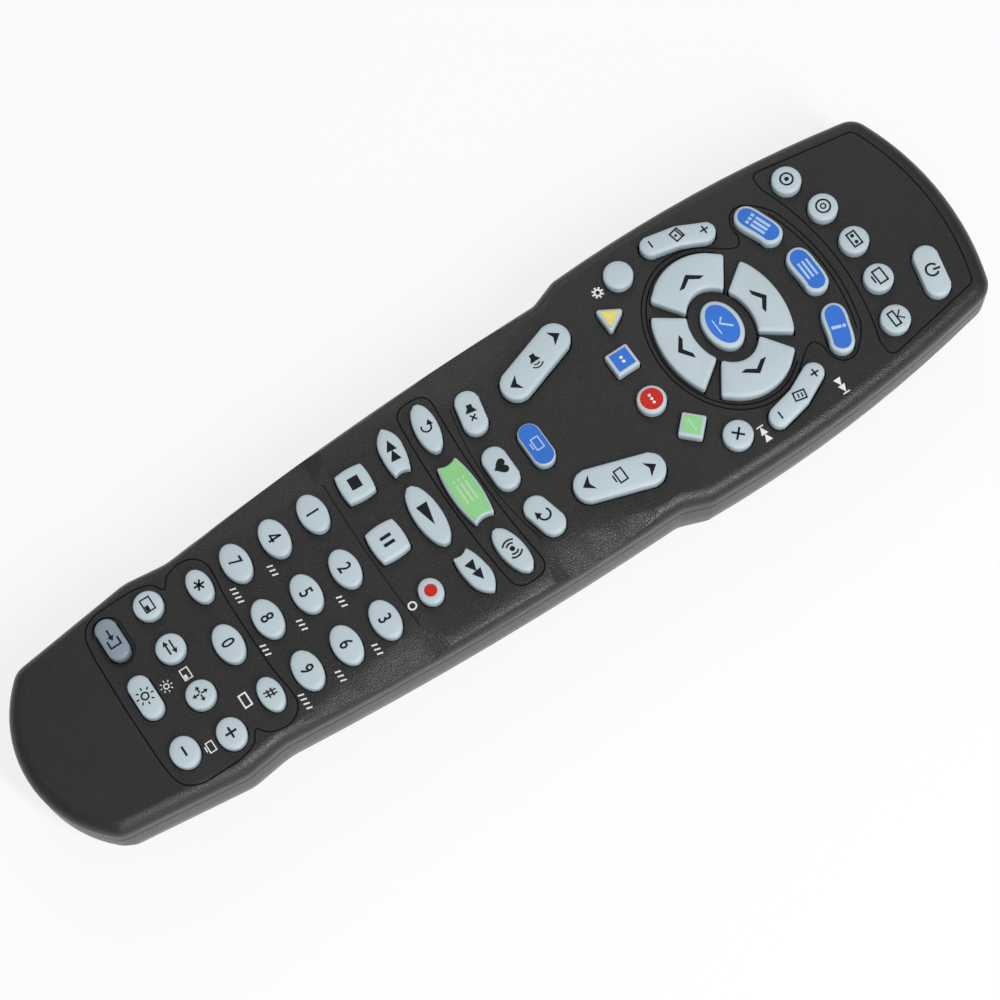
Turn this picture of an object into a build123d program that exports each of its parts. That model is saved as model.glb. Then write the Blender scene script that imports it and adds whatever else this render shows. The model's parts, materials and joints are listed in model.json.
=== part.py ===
from build123d import *
import math
import os

# Case outline at the parting line, half widths and places along the length, nose at +Y
case_length = 226.4
nose_corner_width = 24.4
nose_corner_back = 5.0
widest_width = 29.8
widest_y = 62.0
step_width = 29.6
step_y = 33.4
step_drop_width = 2.3
step_drop_length = 6.2
grip_bulge_width = 26.4
grip_bulge_y = -20.0
waist_width = 22.9
waist_y = -66.5
hip_width = 24.1
hip_y = -76.0
tail_corner_width = 20.6
tail_corner_back = 9.6
nose_corner_radius = 5.0
step_radius = 4.0
waist_radius = 15.0
hip_radius = 10.0
tail_corner_radius = 5.0

# Case thickness and shape from the side
wall = 2.0
deck_thickness = 2.4
shoulder_radius = 3.0
seam_below_crown = 5.35
seam_groove = 0.35
belly_height = 13.0
belly_width = 8.0
pocket_chamfer = 1.4

# Sloping flanks beside the grip
flank_slope = 14.0
flank_reach = 6.0

# Cells, board and rubber sheet, from the bottom up
cell_diameter = 14.2
cell_length = 49.5
cell_nub_diameter = 5.4
cell_nub_length = 1.0
cell_floor_gap = 0.3
cell_side_gap = 0.4
cell_board_gap = 0.5
cell_end_gap = 2.6
cell_y = -70.0
bay_wall = 1.2
board_thickness = 1.6
board_inset = 4.0
mat_thickness = 0.8
mat_inset = 5.0

# Keys
key_travel = 0.8
key_travel_spare = 0.2
flange_thickness = 0.8
flange_width = 0.7
flange_gap = 0.3
key_gap = 0.3
rocker_gap = 0.42
rocker_flange_length = 6.0
key_height = 2.3
round_sides = 16

# Door, screws and window
door_half_width = 16.4
door_top = 5.8
door_gap = 0.2
door_tab_width = 4.4
door_tab_length = 3.4
door_tab_thickness = 1.0
grip_rib_count = 7
grip_rib_pitch = 2.0
grip_rib_depth = 0.4
screw_radius = 1.1
screw_head_radius = 2.3
screw_head_height = 1.6
post_radius = 2.2
post_foot_radius = 3.1
post_hole_gap = 0.3
screw_depth_in_post = 3.0
screw_seat = 6.6
post_x = 8.0
post_y = -101.6
window_half_width = 11.0
window_low_z = 15.2
window_high_z = 20.9
window_depth = 2.8
window_gap = 0.1

# Heights that follow from the stack
half_length = case_length / 2
board_z = wall + cell_floor_gap + cell_diameter + cell_board_gap
mat_z = board_z + board_thickness
mat_top = mat_z + mat_thickness
flange_z = mat_top + key_travel + key_travel_spare
flange_top = flange_z + flange_thickness
deck_z = flange_top + flange_gap
crown_z = deck_z + deck_thickness
seam_z = crown_z - seam_below_crown
key_top_z = crown_z + key_height
door_front_y = cell_y + cell_length / 2 + cell_end_gap


def corner(face, y, radius):
    """Rounds the two mirrored corners of a plan outline that lie nearest to y."""
    nearest = sorted(face.vertices(), key=lambda v: abs(v.Y - y))[:2]
    return fillet(nearest, radius)


def outline(inset):
    """Plan outline of the case, drawn in by the given distance all round."""
    nose_y = half_length - inset
    nose_side_y = half_length - nose_corner_back - inset
    tail_y = inset - half_length
    tail_side_y = tail_y + tail_corner_back
    step_low_y = step_y - step_drop_length
    right = [
        (nose_corner_width - inset, nose_side_y),
        (widest_width - inset, widest_y),
        (step_width - inset, step_y),
        (step_width - step_drop_width - inset, step_low_y),
        (grip_bulge_width - inset, grip_bulge_y),
        (waist_width - inset, waist_y),
        (hip_width - inset, hip_y),
        (tail_corner_width - inset, tail_side_y),
    ]
    left = [(-x, y) for x, y in right]
    edges = ThreePointArc(left[0], (0, nose_y), right[0])
    edges += ThreePointArc(right[7], (0, tail_y), left[7])
    for side in (right, left):
        edges += ThreePointArc(side[0], side[1], side[2])
        edges += Line(side[2], side[3])
        edges += ThreePointArc(side[3], side[4], side[5])
        edges += Line(side[5], side[6])
        edges += Line(side[6], side[7])
    face = make_face(edges)
    face = corner(face, nose_side_y, max(nose_corner_radius - inset, 1.5))
    face = corner(face, step_y, max(step_radius - inset, 1.5))
    face = corner(face, step_low_y, step_radius + inset)
    face = corner(face, waist_y, waist_radius + inset)
    face = corner(face, hip_y, max(hip_radius - inset, 1.5))
    return corner(face, tail_side_y, max(tail_corner_radius - inset, 1.5))


def slab(face, low, high):
    """A plan face extruded between two heights."""
    return extrude(Pos(0, 0, low) * face, amount=high - low)


# Key outlines, each grown all round by the last argument


def oval(length, width, grow, sides=0):
    """An ellipse drawn with a few straight sides."""
    points = []
    sides = sides or round_sides
    for index in range(sides):
        turn = 2 * math.pi * (index + 0.5) / sides
        points.append(((length / 2 + grow) * math.cos(turn), (width / 2 + grow) * math.sin(turn)))
    return make_face(Polyline(*points, close=True))


def disc(diameter, grow):
    return oval(diameter, diameter, grow)


def bent_pill(radius, length, width, grow):
    """A pill bent round a centre that lies the given radius below it, or straight for radius 0."""
    end = width / 2 + grow
    half = (length - width) / 2
    count = round_sides // 2
    points = []
    for side in (1, -1):
        for index in range(count):
            turn = math.pi * ((index + 0.5) / count - 0.5)
            points.append((side * (half + end * math.cos(turn)), side * end * math.sin(turn)))
        if radius:
            points.append((0, side * end))
    if radius:
        points = [
            ((radius + y) * math.sin(x / radius), (radius + y) * math.cos(x / radius) - radius)
            for x, y in points
        ]
    return make_face(Polyline(*points, close=True))


def pill(length, width, grow):
    return bent_pill(0, length, width, grow)


def square(side, corner_radius, grow):
    return RectangleRounded(side + 2 * grow, side + 2 * grow, corner_radius + grow)


def triangle(base, height, corner_radius, grow):
    spread = grow * 1.9
    points = [
        (-base / 2 - spread, -height / 2 - grow),
        (base / 2 + spread, -height / 2 - grow),
        (0, height / 2 + grow * 2.1),
    ]
    face = make_face(Polyline(*points, close=True))
    return fillet(face.vertices(), corner_radius + grow)


def bowed_box(length, width, bow, corner_radius, grow):
    half_x = length / 2 + grow - bow
    half_y = width / 2 + grow - bow
    corners = [(half_x, half_y), (-half_x, half_y), (-half_x, -half_y), (half_x, -half_y)]
    middles = [(0, half_y + bow), (-half_x - bow, 0), (0, -half_y - bow), (half_x + bow, 0)]
    edges = Curve()
    for index, middle in enumerate(middles):
        edges += ThreePointArc(corners[index], middle, corners[(index + 1) % 4])
    face = make_face(edges)
    return fillet(face.vertices(), corner_radius + grow)


def barrel(length, width, end_width, hollow, corner_radius, grow):
    """A long key with bowed sides and hollowed ends."""
    half_x = length / 2 + grow
    half_end = end_width / 2 + grow
    corners = [(half_x, half_end), (-half_x, half_end), (-half_x, -half_end), (half_x, -half_end)]
    middles = [(0, width / 2 + grow), (hollow - half_x, 0), (0, -width / 2 - grow), (half_x - hollow, 0)]
    edges = Curve()
    for index, middle in enumerate(middles):
        edges += ThreePointArc(corners[index], middle, corners[(index + 1) % 4])
    face = make_face(edges)
    return fillet(face.vertices(), corner_radius + grow)


def leaf(length, width, end_width, hollow, corner_radius, grow):
    """A key that is pointed and round at -X and cut hollow at +X."""
    tip = -length / 2 - grow
    half_x = length / 2 + grow
    half_end = end_width / 2 + grow
    side = width / 2 + grow
    edges = ThreePointArc((tip, 0), (tip * 0.62, side * 0.75), (0, side))
    edges += ThreePointArc((0, side), (half_x * 0.55, side * 0.92), (half_x, half_end))
    edges += ThreePointArc((half_x, half_end), (half_x - hollow, 0), (half_x, -half_end))
    edges += ThreePointArc((half_x, -half_end), (half_x * 0.55, -side * 0.92), (0, -side))
    edges += ThreePointArc((0, -side), (tip * 0.62, -side * 0.75), (tip, 0))
    face = make_face(edges)
    ends = face.vertices().sort_by(Axis.X)
    face = fillet(ends[-2:], corner_radius + grow)
    return fillet(face.vertices().sort_by(Axis.X)[:1], corner_radius + grow)


def ring_part(direction, grow):
    """One of four parts of the oval ring; its flange stands out only at the two arcs."""
    ring = oval(2 * ring_outer_x, 2 * ring_outer_y, grow, 2 * round_sides)
    ring -= oval(2 * ring_inner_x, 2 * ring_inner_y, -grow, 2 * round_sides)
    side_grow = 0 if grow > key_gap else grow
    reach = 40.0
    if direction in ("up", "down"):
        slant = math.radians(ring_upright_angle)
        apex = -ring_upright_apex - side_grow / math.cos(slant)
        sign = 1 if direction == "up" else -1
        rise = apex + reach * math.tan(slant)
        points = [(0, sign * apex), (reach, sign * rise), (-reach, sign * rise)]
    else:
        slant = math.radians(ring_sideways_angle)
        apex = -ring_sideways_apex - side_grow / math.sin(slant)
        sign = 1 if direction == "right" else -1
        run = apex + reach / math.tan(slant)
        points = [(sign * apex, 0), (sign * run, reach), (sign * run, -reach)]
    return ring & make_face(Polyline(*points, close=True))


# Key sizes and places
ring_y = 56.4
ring_outer_x = 17.3
ring_outer_y = 13.9
ring_inner_x = 9.0
ring_inner_y = 6.6
ring_upright_angle = 54.3
ring_upright_apex = 2.3
ring_sideways_angle = 34.9
ring_sideways_apex = 0.6
fan_centre_y = 35.9
device_arc_radius = 54.3
device_key = 6.4
device_pitch_angle = 10.4
menu_arc_radius = 42.3
menu_pitch_angle = 19.6
menu_key_length = 11.4
menu_key_width = 5.4
number_pitch_x = 13.6
number_pitch_y = 9.3
number_five_y = -46.4
number_middle_drop = 0.9
number_length = 8.9
number_width = 5.9
sign_key_length = 7.6
sign_key_width = 5.0
page_key_x = 21.9
page_key_y = 60.2
page_key_tilt = 19.0
page_key_radius = 26.0
page_key_length = 16.6
page_key_width = 4.7
rocker_x = 15.4
rocker_y = 19.8
rocker_length = 19.6
rocker_width = 7.2
rocker_tilt = 18.3

keys = {}


def add_key(node, shape, sizes, x, y, tilt=0.0, flange="box", rocker=False):
    """Notes one key: its node, outline, size, place, tilt and kind of flange."""
    one = {
        "shape": shape,
        "sizes": sizes,
        "x": x,
        "y": y,
        "tilt": tilt,
        "flange": flange,
        "rocker": rocker,
    }
    keys.setdefault(node, []).append(one)


def key_outline(one, grow):
    """The key's plan outline in place, grown all round."""
    place = Location((one["x"], one["y"], 0), (0, 0, one["tilt"]))
    return place * one["shape"](*one["sizes"], grow)


def key_flange(one):
    """The flange that holds the key under the deck, in plan."""
    if one["flange"] == "outline":
        return key_outline(one, flange_width)
    place = Location((one["x"], one["y"], 0), (0, 0, one["tilt"]))
    box = one["shape"](*one["sizes"], 0).bounding_box().size
    length = box.X + 2 * flange_width
    if one["rocker"]:
        length = rocker_flange_length
    return place * Rectangle(length, box.Y + 2 * flange_width)


def key_solid(one):
    """One key with its flange, from the flange's underside to the key's top."""
    cap = slab(key_outline(one, 0), flange_z, key_top_z)
    return cap + slab(key_flange(one), flange_z, flange_top)


def lay_out_keys():
    """Places every key of the keypad."""
    add_key("key_power", pill, (12.0, 5.6), 14.9, 99.3, -14.0)
    for step in (-2, -1, 0, 1, 2):
        angle = math.radians(step * device_pitch_angle)
        x = device_arc_radius * math.sin(angle)
        y = fan_centre_y + device_arc_radius * math.cos(angle)
        add_key("device_keys", disc, (device_key,), x, y)
    for step, node in ((-1, "key_guide"), (0, "key_menu"), (1, "key_info")):
        angle = math.radians(step * menu_pitch_angle)
        x = menu_arc_radius * math.sin(angle)
        y = fan_centre_y + menu_arc_radius * math.cos(angle)
        sizes = (menu_arc_radius, menu_key_length, menu_key_width)
        add_key(node, bent_pill, sizes, x, y, -step * menu_pitch_angle)
    sizes = (page_key_radius, page_key_length, page_key_width)
    add_key("key_day", bent_pill, sizes, -page_key_x, page_key_y, 90 - page_key_tilt, "box", True)
    add_key("key_page", bent_pill, sizes, page_key_x, page_key_y, page_key_tilt - 90, "box", True)
    for direction in ("up", "down", "left", "right"):
        add_key("key_" + direction, ring_part, (direction,), 0, ring_y, 0, "outline")
    add_key("key_select", oval, (11.6, 8.0), 0, ring_y, 0, "outline")
    add_key("key_settings", disc, (6.4,), -21.6, 45.0)
    add_key("key_exit", disc, (6.4,), 21.6, 45.0)
    add_key("key_a", triangle, (6.4, 5.4, 0.6), -14.7, 39.0, 0, "outline")
    add_key("key_b", square, (5.5, 0.5), -5.3, 34.8)
    add_key("key_c", disc, (6.3,), 5.3, 34.8)
    add_key("key_d", square, (5.2, 0.5), 14.7, 38.4, 45.0)
    sizes = (rocker_length, rocker_width)
    add_key("key_volume", pill, sizes, -rocker_x, rocker_y, 90 + rocker_tilt, "box", True)
    add_key("key_channel", pill, sizes, rocker_x, rocker_y, 90 - rocker_tilt, "box", True)
    add_key("key_library", pill, (10.3, 5.1), 0, 9.7)
    add_key("key_mute", pill, (9.9, 5.5), -13.5, 2.6, -12.0)
    add_key("key_favorite", pill, (10.1, 5.5), 0, 0.9)
    add_key("key_last", pill, (9.9, 5.5), 13.5, 2.6, 14.0)
    add_key("key_replay", oval, (11.4, 5.1), -15.9, -6.9, -8.0)
    add_key("key_list", barrel, (14.9, 6.3, 4.4, 0.8, 0.4), 0, -7.8)
    add_key("key_live", oval, (11.6, 5.1), 15.9, -6.9, 8.0)
    add_key("key_rewind", leaf, (10.8, 5.1, 3.4, 0.7, 0.35), -15.7, -15.5, -8.0)
    add_key("key_play", oval, (14.8, 5.8), 0, -17.0)
    add_key("key_forward", leaf, (10.8, 5.1, 3.4, 0.7, 0.35), 15.7, -15.5, 188.0)
    add_key("key_stop", bowed_box, (7.3, 6.9, 0.35, 0.6), -14.1, -25.6, -3.0)
    add_key("key_pause", bowed_box, (7.9, 7.4, 0.4, 0.6), 0, -26.8)
    add_key("key_record", oval, (5.8, 5.2), 13.9, -25.4)
    for number in range(1, 10):
        column = (number - 1) % 3 - 1
        row = (number - 1) // 3 - 1
        x = column * number_pitch_x
        y = number_five_y - row * number_pitch_y
        if column != 0:
            y += number_middle_drop
        add_key("key_" + str(number), oval, (number_length, number_width), x, y)
    sign_y = number_five_y - 2 * number_pitch_y + number_middle_drop + 0.6
    add_key("key_star", oval, (sign_key_length, sign_key_width), -number_pitch_x, sign_y)
    add_key("key_0", oval, (number_length, number_width), 0, number_five_y - 2 * number_pitch_y)
    add_key("key_hash", oval, (sign_key_length, sign_key_width), number_pitch_x, sign_y)
    add_key("pip_keys", disc, (6.2,), -16.0, -74.3)
    add_key("pip_keys", disc, (6.2,), -5.8, -75.2)
    add_key("pip_keys", disc, (6.2,), 5.8, -75.2)
    add_key("channel_keys", oval, (6.8, 6.0), 16.0, -74.3)
    add_key("key_source", pill, (9.4, 4.8), -14.0, -84.0)
    add_key("key_light", pill, (9.8, 4.9), 0, -84.6)
    add_key("channel_keys", oval, (6.8, 6.0), 14.0, -84.0)


# Tongues that keep the two halves in line
tongue_places = (78.0, 45.0, -50.0)
tongue_length = 8.0
tongue_thickness = 1.2
tongue_gap = 0.3
tongue_drop = 4.0
tongue_foot = 1.0

# Well round the source key
source_well_width = 1.0
source_well_depth = 0.7


def half_width(y):
    """Half width of the case at the parting line, in straight stretches."""
    step_low_y = step_y - step_drop_length
    stations = [
        (half_length - nose_corner_back, nose_corner_width),
        (widest_y, widest_width),
        (step_y, step_width),
        (step_low_y, step_width - step_drop_width),
        (grip_bulge_y, grip_bulge_width),
        (waist_y, waist_width),
        (hip_y, hip_width),
    ]
    for (high_y, high_x), (low_y, low_x) in zip(stations, stations[1:]):
        if low_y <= y <= high_y:
            share = (y - low_y) / (high_y - low_y)
            return low_x + share * (high_x - low_x)
    return nose_corner_width


# Crease where the flat deck turns into the sloping flank, as places and distances from the edge
flank_crease = [
    (27.6, 0.6),
    (22.0, 3.0),
    (14.0, 5.6),
    (6.0, 6.9),
    (0.5, 7.7),
    (-4.0, 3.2),
    (-16.0, 3.0),
    (-27.5, 3.2),
    (-32.5, 7.2),
    (-48.0, 4.8),
    (-60.0, 3.0),
    (-70.0, 1.2),
    (-75.5, 0.2),
]


def flank_cutter(side):
    """The wedge that slopes one flank down from the crease to the edge."""
    drop = math.tan(math.radians(flank_slope))
    sections = []
    for y, from_edge in flank_crease:
        inner = half_width(y) - from_edge
        outer = half_width(y) + flank_reach
        points = [
            (side * inner, crown_z),
            (side * outer, crown_z - drop * (outer - inner)),
            (side * outer, crown_z + 4),
            (side * inner, crown_z + 4),
        ]
        section = Plane.XZ.offset(-y) * make_face(Polyline(*points, close=True))
        sections.append(section)
    return loft(sections, ruled=True)


def belly(inset, low, high):
    """The rounded lower body, drawn in by the inset, from low up to high."""
    sections = []
    reach = belly_height - low
    for turn in (0, 30, 60, 90):
        angle = math.radians(turn)
        z = belly_height - reach * math.sin(angle)
        draw_in = inset + belly_width * (1 - math.cos(angle))
        sections.append(Pos(0, 0, z) * outline(draw_in))
    return loft(sections, ruled=True) + slab(outline(inset), belly_height, high)


def post_discs(radius):
    """A disc of the given radius at each screw post."""
    return [Pos(side * post_x, post_y) * Circle(radius) for side in (-1, 1)]


def upper_body():
    """The upper case as a solid block, with rounded shoulders and sloping flanks."""
    body = slab(outline(0), seam_z, crown_z)
    top = body.faces().sort_by(Axis.Z)[-1]
    body = fillet(top.edges(), shoulder_radius)
    for side in (-1, 1):
        body -= flank_cutter(side)
    return body


def window_block(half, depth, low, high):
    """A block through the nose for the window or its opening."""
    block = Box(2 * half, depth + 10, high - low, align=(Align.CENTER, Align.MIN, Align.MIN))
    return Pos(0, half_length - depth, low) * block


def make_upper_case(body):
    """The upper case: hollow, with key openings, tongues and screw posts."""
    pocket = slab(outline(wall), seam_z - 1, deck_z - pocket_chamfer)
    roof = loft(
        [
            Pos(0, 0, deck_z - pocket_chamfer) * outline(wall),
            Pos(0, 0, deck_z) * outline(wall + pocket_chamfer),
        ],
        ruled=True,
    )
    case = body - pocket - roof
    openings = []
    for group in keys.values():
        for one in group:
            gap = rocker_gap if one["rocker"] else key_gap
            openings.append(slab(key_outline(one, gap), deck_z - 1, crown_z + 1))
    case -= openings
    well = keys["key_source"][0]
    well_outline = key_outline(well, source_well_width)
    case -= slab(well_outline, crown_z - source_well_depth, crown_z + 1)
    for side in (-1, 1):
        for y in tongue_places:
            case += Pos(side * (half_width(y) - wall), y, 0) * tongue(side)
    case -= window_block(window_half_width, window_depth + 2, window_low_z, window_high_z)
    for disc_face in post_discs(post_radius):
        case += slab(disc_face, board_z, deck_z + 0.5)
    for disc_face in post_discs(screw_radius):
        case -= slab(disc_face, board_z - 1, board_z + screw_depth_in_post + 0.5)
    return case


def tongue(side):
    """A tongue on the upper wall that hangs inside the lower wall."""
    align = (Align.MAX if side > 0 else Align.MIN, Align.CENTER, Align.MAX)
    hook = Box(tongue_thickness, tongue_length, tongue_drop, align=align)
    foot = Box(tongue_thickness + wall, tongue_length, tongue_foot, align=align)
    hang = Pos(-side * tongue_gap, 0, seam_z + tongue_foot) * hook
    return hang + Pos(side * wall / 2, 0, seam_z + 2 * tongue_foot) * foot


def make_lower_case(body):
    """The lower case: hollow, with battery bay, door opening and screw posts."""
    case = body - belly(wall, wall, seam_z + 1)
    rim = slab(outline(-1), seam_z - seam_groove, seam_z + 1)
    rim -= slab(outline(seam_groove), seam_z - seam_groove - 1, seam_z + 2)
    case -= rim
    inside = belly(wall / 2, wall / 2, seam_z + 1)
    bay = battery_bay() & inside
    feet = []
    for disc_face in post_discs(post_foot_radius):
        feet.append(slab(disc_face, 0.5, board_z) & inside)
    case += bay
    case += feet
    for disc_face in post_discs(screw_radius + 0.3):
        case -= slab(disc_face, -1, board_z + 1)
    for disc_face in post_discs(screw_head_radius + 0.3):
        case -= slab(disc_face, -1, screw_seat + screw_head_height)
    opening = Box(
        2 * door_half_width,
        half_length + door_front_y + 5,
        door_top + 1,
        align=(Align.CENTER, Align.MAX, Align.MIN),
    )
    case -= Pos(0, door_front_y, -1) * opening
    case -= window_block(window_half_width, window_depth + 2, window_low_z, window_high_z)
    return case


def battery_bay():
    """Walls round the two cells, above the door's reach."""
    inner_x = cell_diameter + cell_side_gap
    half = cell_length / 2 + cell_end_gap
    low = door_top + 0.3
    walls = Box(2 * (inner_x + bay_wall), 2 * (half + bay_wall), board_z - low)
    walls -= Box(2 * inner_x, 2 * half, board_z)
    bay = Pos(0, cell_y, (board_z + low) / 2) * walls
    head = Box(2 * (inner_x + bay_wall), bay_wall, board_z - 0.5)
    bay += Pos(0, door_front_y + bay_wall / 2, board_z / 2 + 0.25) * head
    notch = Box(door_tab_width + 0.8, 4 * bay_wall, door_tab_thickness + 0.8)
    return bay - Pos(0, door_front_y, wall + door_tab_thickness / 2 + 0.2) * notch


def make_battery_door(body):
    """The sliding door: a piece of the belly with grip ribs and a tab."""
    shell = body - belly(wall, wall, seam_z + 1)
    half = door_half_width - door_gap
    front = door_front_y - door_gap
    block = Box(
        2 * half,
        half_length + front + 5,
        door_top - door_gap + 1,
        align=(Align.CENTER, Align.MAX, Align.MIN),
    )
    door = shell & (Pos(0, front, -1) * block)
    for index in range(grip_rib_count):
        y = front - 5 - index * grip_rib_pitch
        rib = Box(14 - index, 0.8, 2 * grip_rib_depth)
        door -= Pos(0, y, 0) * rib
    tab_z = wall + door_gap
    tab = Box(door_tab_width, 2 * door_tab_length, door_tab_thickness)
    door += Pos(0, front, tab_z + door_tab_thickness / 2) * tab
    riser = Box(door_tab_width, door_tab_length, tab_z)
    door += Pos(0, front - door_tab_length / 2, tab_z / 2 + door_tab_thickness / 2) * riser
    return door


def make_window(upper, lower):
    """The dark window that fills the opening in the nose."""
    half = window_half_width - window_gap
    block = window_block(
        half, window_depth, window_low_z + window_gap, window_high_z - window_gap
    )
    return (upper & block) + (lower & block)


def make_board():
    """The circuit board, with room for the posts and the emitter."""
    board = slab(outline(board_inset), board_z, mat_z)
    for disc_face in post_discs(post_radius + post_hole_gap):
        board -= slab(disc_face, board_z - 1, mat_z + 1)
    notch = Box(emitter_room, 20, 10, align=(Align.CENTER, Align.MIN, Align.CENTER))
    return board - Pos(0, emitter_back_y - 0.6, board_z) * notch


def make_mat():
    """The rubber sheet under the keys, with room for posts and small lights."""
    mat = slab(outline(mat_inset), mat_z, mat_top)
    for disc_face in post_discs(post_radius + post_hole_gap):
        mat -= slab(disc_face, mat_z - 1, mat_top + 1)
    notch = Box(emitter_room, 20, 5, align=(Align.CENTER, Align.MIN, Align.CENTER))
    mat -= Pos(0, emitter_back_y - emitter_lead - 0.5, mat_z) * notch
    for x, y in light_places:
        mat -= Pos(x, y, mat_z) * Box(light_length + 0.6, light_width + 0.6, 4)
    return mat


# Infrared emitter
emitter_radius = 2.5
emitter_length = 6.6
emitter_room = 6.0
emitter_lead = 3.5
emitter_lead_pitch = 2.54
emitter_back_y = half_length - 10.2

# Small lights under the keypad
light_length = 1.6
light_width = 0.8
light_height = 0.6
light_places = [(0, 27.0), (-7.0, -41.5), (7.0, -41.5), (0, -79.9)]


def make_lights():
    """Small lights that stand on the board in openings of the rubber sheet."""
    light = Box(light_length, light_width, light_height)
    return [Pos(x, y, mat_z + light_height / 2) * light for x, y in light_places]


def make_emitter():
    """The infrared emitter in the nose, with its two leads to the board."""
    z = (window_low_z + window_high_z) / 2
    body = Cylinder(
        emitter_radius,
        emitter_length,
        rotation=(-90, 0, 0),
        align=(Align.CENTER, Align.CENTER, Align.MIN),
    )
    emitter = Pos(0, emitter_back_y, z) * body
    emitter = chamfer(emitter.edges().sort_by(Axis.Y)[-1], emitter_radius / 3)
    lead = Box(0.5, emitter_lead + 0.5, 0.5, align=(Align.CENTER, Align.MAX, Align.MIN))
    for x in (-emitter_lead_pitch / 2, emitter_lead_pitch / 2):
        emitter += Pos(x, emitter_back_y + 0.5, mat_z + 0.05) * lead
    return emitter


def make_components():
    """Chip, resonator and two capacitors under the board."""
    chip = Pos(0, 40, board_z - 0.95) * Box(7.5, 13, 1.9)
    resonator = Pos(9.5, 44, board_z - 1.75) * Box(3.6, 7.4, 3.5)
    parts = [chip, resonator]
    for y in (10, 22):
        can = Cylinder(2.5, 5.4, align=(Align.CENTER, Align.CENTER, Align.MAX))
        parts.append(Pos(-9, y, board_z) * can)
    return parts


def make_cells():
    """Two cells side by side, laid opposite ways."""
    cells = []
    z = wall + cell_floor_gap + cell_diameter / 2
    x = cell_diameter / 2 + 0.15
    for side in (-1, 1):
        can = Cylinder(cell_diameter / 2, cell_length, rotation=(90, 0, 0))
        nub = Cylinder(cell_nub_diameter / 2, 2 * cell_nub_length, rotation=(90, 0, 0))
        cell = Pos(side * x, cell_y, z) * can
        cell += Pos(side * x, cell_y + side * cell_length / 2, z) * nub
        cells.append(cell)
    return cells


def make_contacts():
    """Flat plates at the nub ends and bent leaf springs at the flat ends."""
    contacts = []
    z = wall + cell_floor_gap + cell_diameter / 2
    half = cell_length / 2 + cell_end_gap
    plate = 0.4
    for side in (-1, 1):
        x = side * (cell_diameter / 2 + 0.15)
        nub_y = cell_y + side * half
        back = Pos(x, nub_y - side * (plate / 2 + 0.05), z) * Box(9, plate, 6.6)
        bump = Pos(x, nub_y - side * (plate + 0.05 + 0.5), z) * Box(4, 1.0, 4)
        contacts.append(back + bump)
        flat_y = cell_y - side * half
        reach = cell_end_gap - 0.3
        contacts.append(leaf_spring(x, flat_y, z, side, reach, plate))
    return contacts


def leaf_spring(x, y, z, side, reach, plate):
    """A strip that stands on its plate and bows out to the cell."""
    back = Box(9, plate, 6.6)
    spring = Pos(x, y + side * (plate / 2 + 0.05), z) * back
    bow = ThreePointArc((0, -3.0), (reach - plate, 0), (0, 3.0))
    inner = ThreePointArc((0, -2.5), (reach - 2 * plate, 0), (0, 2.5))
    strip = make_face(bow + inner + Line((0, -3.0), (0, -2.5)) + Line((0, 2.5), (0, 3.0)))
    bar = extrude(Plane.YZ * strip, amount=2.5, both=True)
    if side < 0:
        bar = mirror(bar, Plane.XZ)
    return spring + Pos(x, y + side * (plate + 0.05), z) * bar


def make_screws():
    """The screws that hold the halves together, put in from below."""
    screws = []
    shank_z = screw_seat + screw_head_height
    for head_disc, shank_disc in zip(post_discs(screw_head_radius), post_discs(screw_radius)):
        head = slab(head_disc, screw_seat, shank_z)
        screws.append(head + slab(shank_disc, shank_z, board_z + screw_depth_in_post))
    return screws


def write(node, solids):
    """Writes one node's solids to its own file."""
    if not isinstance(solids, list):
        solids = [solids]
    bodies = [body for one in solids for body in one.solids()]
    shape = bodies[0] if len(bodies) == 1 else Compound(children=bodies)
    export_step(shape, os.path.join("parts", node + ".step"))


def main():
    os.makedirs("parts", exist_ok=True)
    lay_out_keys()
    upper = upper_body()
    lower = belly(0, 0, seam_z)
    write("upper_case", make_upper_case(upper))
    write("lower_case", make_lower_case(lower))
    write("battery_door", make_battery_door(lower))
    write("ir_window", make_window(upper, lower))
    write("key_mat", make_mat())
    write("circuit_board", make_board())
    write("board_components", make_components() + make_lights())
    write("ir_led", make_emitter())
    write("battery_cells", make_cells())
    write("battery_contacts", make_contacts())
    write("case_screws", make_screws())
    for node, group in keys.items():
        write(node, [key_solid(one) for one in group])


if __name__ == "__main__":
    main()
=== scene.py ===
"""A cable box remote control: soft keys, printed signs, textured housing and a plain studio."""

import json
import math

import bpy
from bpy.props import FloatProperty, FloatVectorProperty, PointerProperty
from mathutils import Matrix, Vector
from mathutils.bvhtree import BVHTree


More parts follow.
